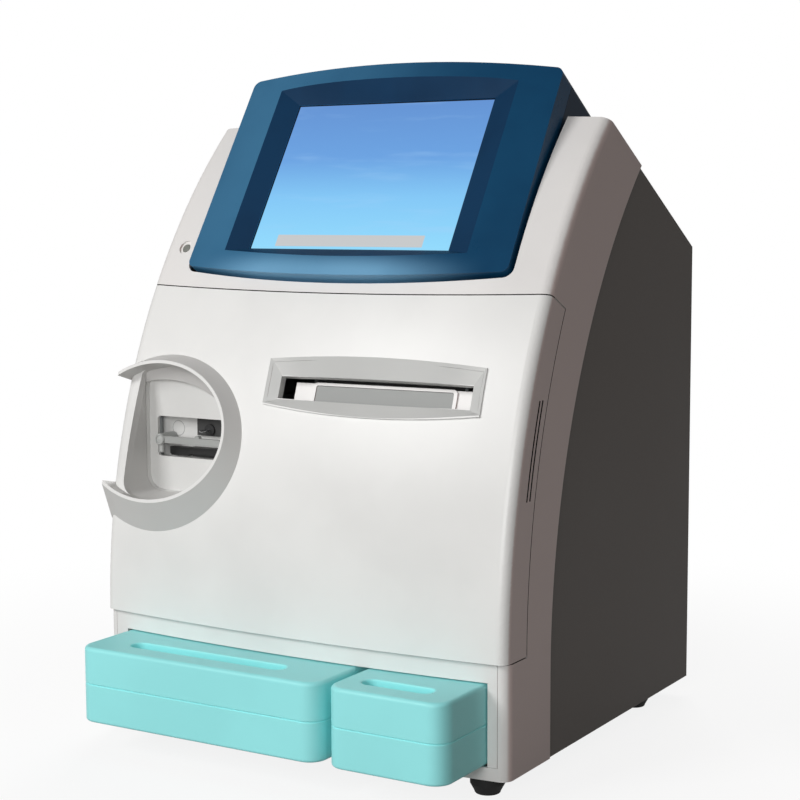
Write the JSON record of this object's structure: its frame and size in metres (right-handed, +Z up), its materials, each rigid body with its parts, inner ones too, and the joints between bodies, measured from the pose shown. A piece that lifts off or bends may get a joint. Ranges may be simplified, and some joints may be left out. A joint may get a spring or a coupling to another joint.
{
  "type": "blood gas analyzer",
  "caption": "Bench blood gas analyzer with a bowed front door, tilted touch screen, sampling ring, paper printer slot and two slide-in fluid packs.",
  "frame": {"origin": "middle of the footprint, on the plane of the feet", "axes": "+X to the right seen from the front, +Y to the rear, +Z up"},
  "size_m": [0.34, 0.374, 0.5006],
  "materials": {
    "white_plastic": "fine moulded grain",
    "door_plastic": "fine moulded grain",
    "dark_case": "fine powder coat",
    "turquoise_plastic": "satin",
    "blue_frame": "satin",
    "navy_housing": "satin",
    "screen_glass": "lit screen under glass",
    "lcd_metal": "plain",
    "ring_grey": "satin",
    "bezel_grey": "satin",
    "lid_grey": "satin",
    "panel_grey": "satin",
    "lever_grey": "satin",
    "dark_plastic": "fine moulded grain",
    "backplate_grey": "satin",
    "zinc_sheet": "zinc coated",
    "steel_parts": "ground",
    "case_tray": "fine powder coat",
    "foot_rubber": "moulded",
    "roller_rubber": "ground",
    "paper_white": "thermal paper",
    "hose_rubber": "translucent",
    "clear_block": "polished",
    "electrode_plastic": "moulded",
    "valve_plastic": "moulded",
    "motor_metal": "plain",
    "pump_plastic": "moulded",
    "roller_plastic": "turned",
    "board_green": "solder mask",
    "port_metal": "tinned",
    "lamp_lens": "clear",
    "magnet_black": "moulded",
    "nipple_plastic": "moulded",
    "supply_metal": "plain",
    "fan_plastic": "moulded",
    "guard_wire": "nickel plated"
  },
  "bodies": {
    "housing": {"base_panel": "white_plastic", "bay_back": "zinc_sheet", "bay_rails": "zinc_sheet", "bottom_tray": "case_tray", "bulkhead": "zinc_sheet", "circuit_boards": "board_green", "data_ports": "port_metal", "deck": "zinc_sheet", "display_bezel": "blue_frame", "display_housing": "navy_housing", "door_magnet": "magnet_black", "electrodes": "electrode_plastic", "fan_frame": "fan_plastic", "fan_guard": "guard_wire", "fluid_nipples": "nipple_plastic", "front_shell": "white_plastic", "hinge_brackets": "zinc_sheet", "hinge_pins": "steel_parts", "lcd_panel": "lcd_metal", "measuring_chamber": "clear_block", "port_plate": "dark_plastic", "power_inlet": "dark_plastic", "power_supply": "supply_metal", "print_head": "dark_plastic", "printer_frame": "zinc_sheet", "printer_plate": "white_plastic", "pump_block": "pump_plastic", "pump_hose": "hose_rubber", "pump_motor": "motor_metal", "rear_cover": "dark_case", "rear_panel": "dark_case", "rinse_block": "dark_plastic", "rubber_feet": "foot_rubber", "sample_port": "lid_grey", "sampler_backplate": "backplate_grey", "sampler_channel": "zinc_sheet", "sampler_panel": "panel_grey", "status_lamp": "lamp_lens", "touch_glass": "screen_glass", "valve_block": "valve_plastic"},
    "door": {"door_panel": "door_plastic", "sampling_ring": "ring_grey", "printer_bezel": "bezel_grey", "hinge_arms": "dark_plastic", "door_strike": "steel_parts"},
    "reagent_pack": {"reagent_pack_tray": "turquoise_plastic", "reagent_pack_lid": "turquoise_plastic"},
    "rinse_pack": {"rinse_pack_tray": "turquoise_plastic", "rinse_pack_lid": "turquoise_plastic"},
    "sample_lever": {"sample_lever": "lever_grey"},
    "probe_needle": {"probe_needle": "steel_parts"},
    "printer_lid": {"printer_lid": "lid_grey"},
    "platen_roller": {"platen_roller": "roller_rubber"},
    "paper_roll": {"paper_roll": "paper_white"},
    "pump_rotor": {"pump_rotor": "pump_plastic"},
    "pump_roller_a": {"pump_roller_a": "roller_plastic"},
    "pump_roller_b": {"pump_roller_b": "roller_plastic"},
    "pump_roller_c": {"pump_roller_c": "roller_plastic"},
    "fan_rotor": {"fan_rotor": "fan_plastic"},
    "power_rocker": {"power_rocker": "fan_plastic"}
  },
  "joints": [
    {"name": "door_swing", "type": "hinge", "parent": "housing", "child": "door", "pos_m": [-0.16, -0.0805, 0.0924], "axis": [0, -0.2358, -0.9718], "range_deg": [0, 80]},
    {"name": "lever_swing", "type": "hinge", "parent": "housing", "child": "sample_lever", "pos_m": [-0.1435, -0.095, 0.2194], "axis": [0, 1, 0], "range_deg": [0, 28]},
    {"name": "lid_tip", "type": "hinge", "parent": "housing", "child": "printer_lid", "pos_m": [0.05067, -0.09687, 0.25296], "axis": [0.9995, 0.0327, 0], "range_deg": [0, 35]},
    {"name": "platen_spin", "type": "hinge", "parent": "housing", "child": "platen_roller", "pos_m": [0.054, -0.0828, 0.2619], "axis": [1, 0, 0], "continuous": true},
    {"name": "paper_roll_spin", "type": "hinge", "parent": "housing", "child": "paper_roll", "pos_m": [0.054, -0.044, 0.266], "axis": [1, 0, 0], "continuous": true},
    {"name": "pump_spin", "type": "hinge", "parent": "housing", "child": "pump_rotor", "pos_m": [0.118, -0.02, 0.15], "axis": [0, -1, 0], "continuous": true},
    {"name": "roller_spin_a", "type": "hinge", "parent": "pump_rotor", "child": "pump_roller_a", "pos_m": [0.118, -0.0204, 0.166], "axis": [0, -1, 0], "continuous": true},
    {"name": "roller_spin_b", "type": "hinge", "parent": "pump_rotor", "child": "pump_roller_b", "pos_m": [0.10414, -0.0204, 0.142], "axis": [0, -1, 0], "continuous": true},
    {"name": "roller_spin_c", "type": "hinge", "parent": "pump_rotor", "child": "pump_roller_c", "pos_m": [0.13186, -0.0204, 0.142], "axis": [0, -1, 0], "continuous": true},
    {"name": "fan_spin", "type": "hinge", "parent": "housing", "child": "fan_rotor", "pos_m": [-0.095, 0.172, 0.27], "axis": [0, 1, 0], "continuous": true},
    {"name": "power_tip", "type": "hinge", "parent": "housing", "child": "power_rocker", "pos_m": [0.12, 0.1805, 0.073], "axis": [1, 0, 0], "range_deg": [0, 14]},
    {"name": "probe_slide", "type": "slide", "parent": "housing", "child": "probe_needle", "axis": [0, -1, 0], "range_m": [-0.01, 0.015]},
    {"name": "reagent_pack_slide", "type": "slide", "parent": "housing", "child": "reagent_pack", "axis": [0, -1, 0], "range_m": [0, 0.18]},
    {"name": "rinse_pack_slide", "type": "slide", "parent": "housing", "child": "rinse_pack", "axis": [0, -1, 0], "range_m": [0, 0.18]}
  ],
  "couplings": [
    {"joint": "platen_spin", "follows": "paper_roll_spin", "ratio": 3.8333},
    {"joint": "roller_spin_a", "follows": "pump_spin", "ratio": -4.22},
    {"joint": "roller_spin_b", "follows": "pump_spin", "ratio": -4.22},
    {"joint": "roller_spin_c", "follows": "pump_spin", "ratio": -4.22}
  ]
}
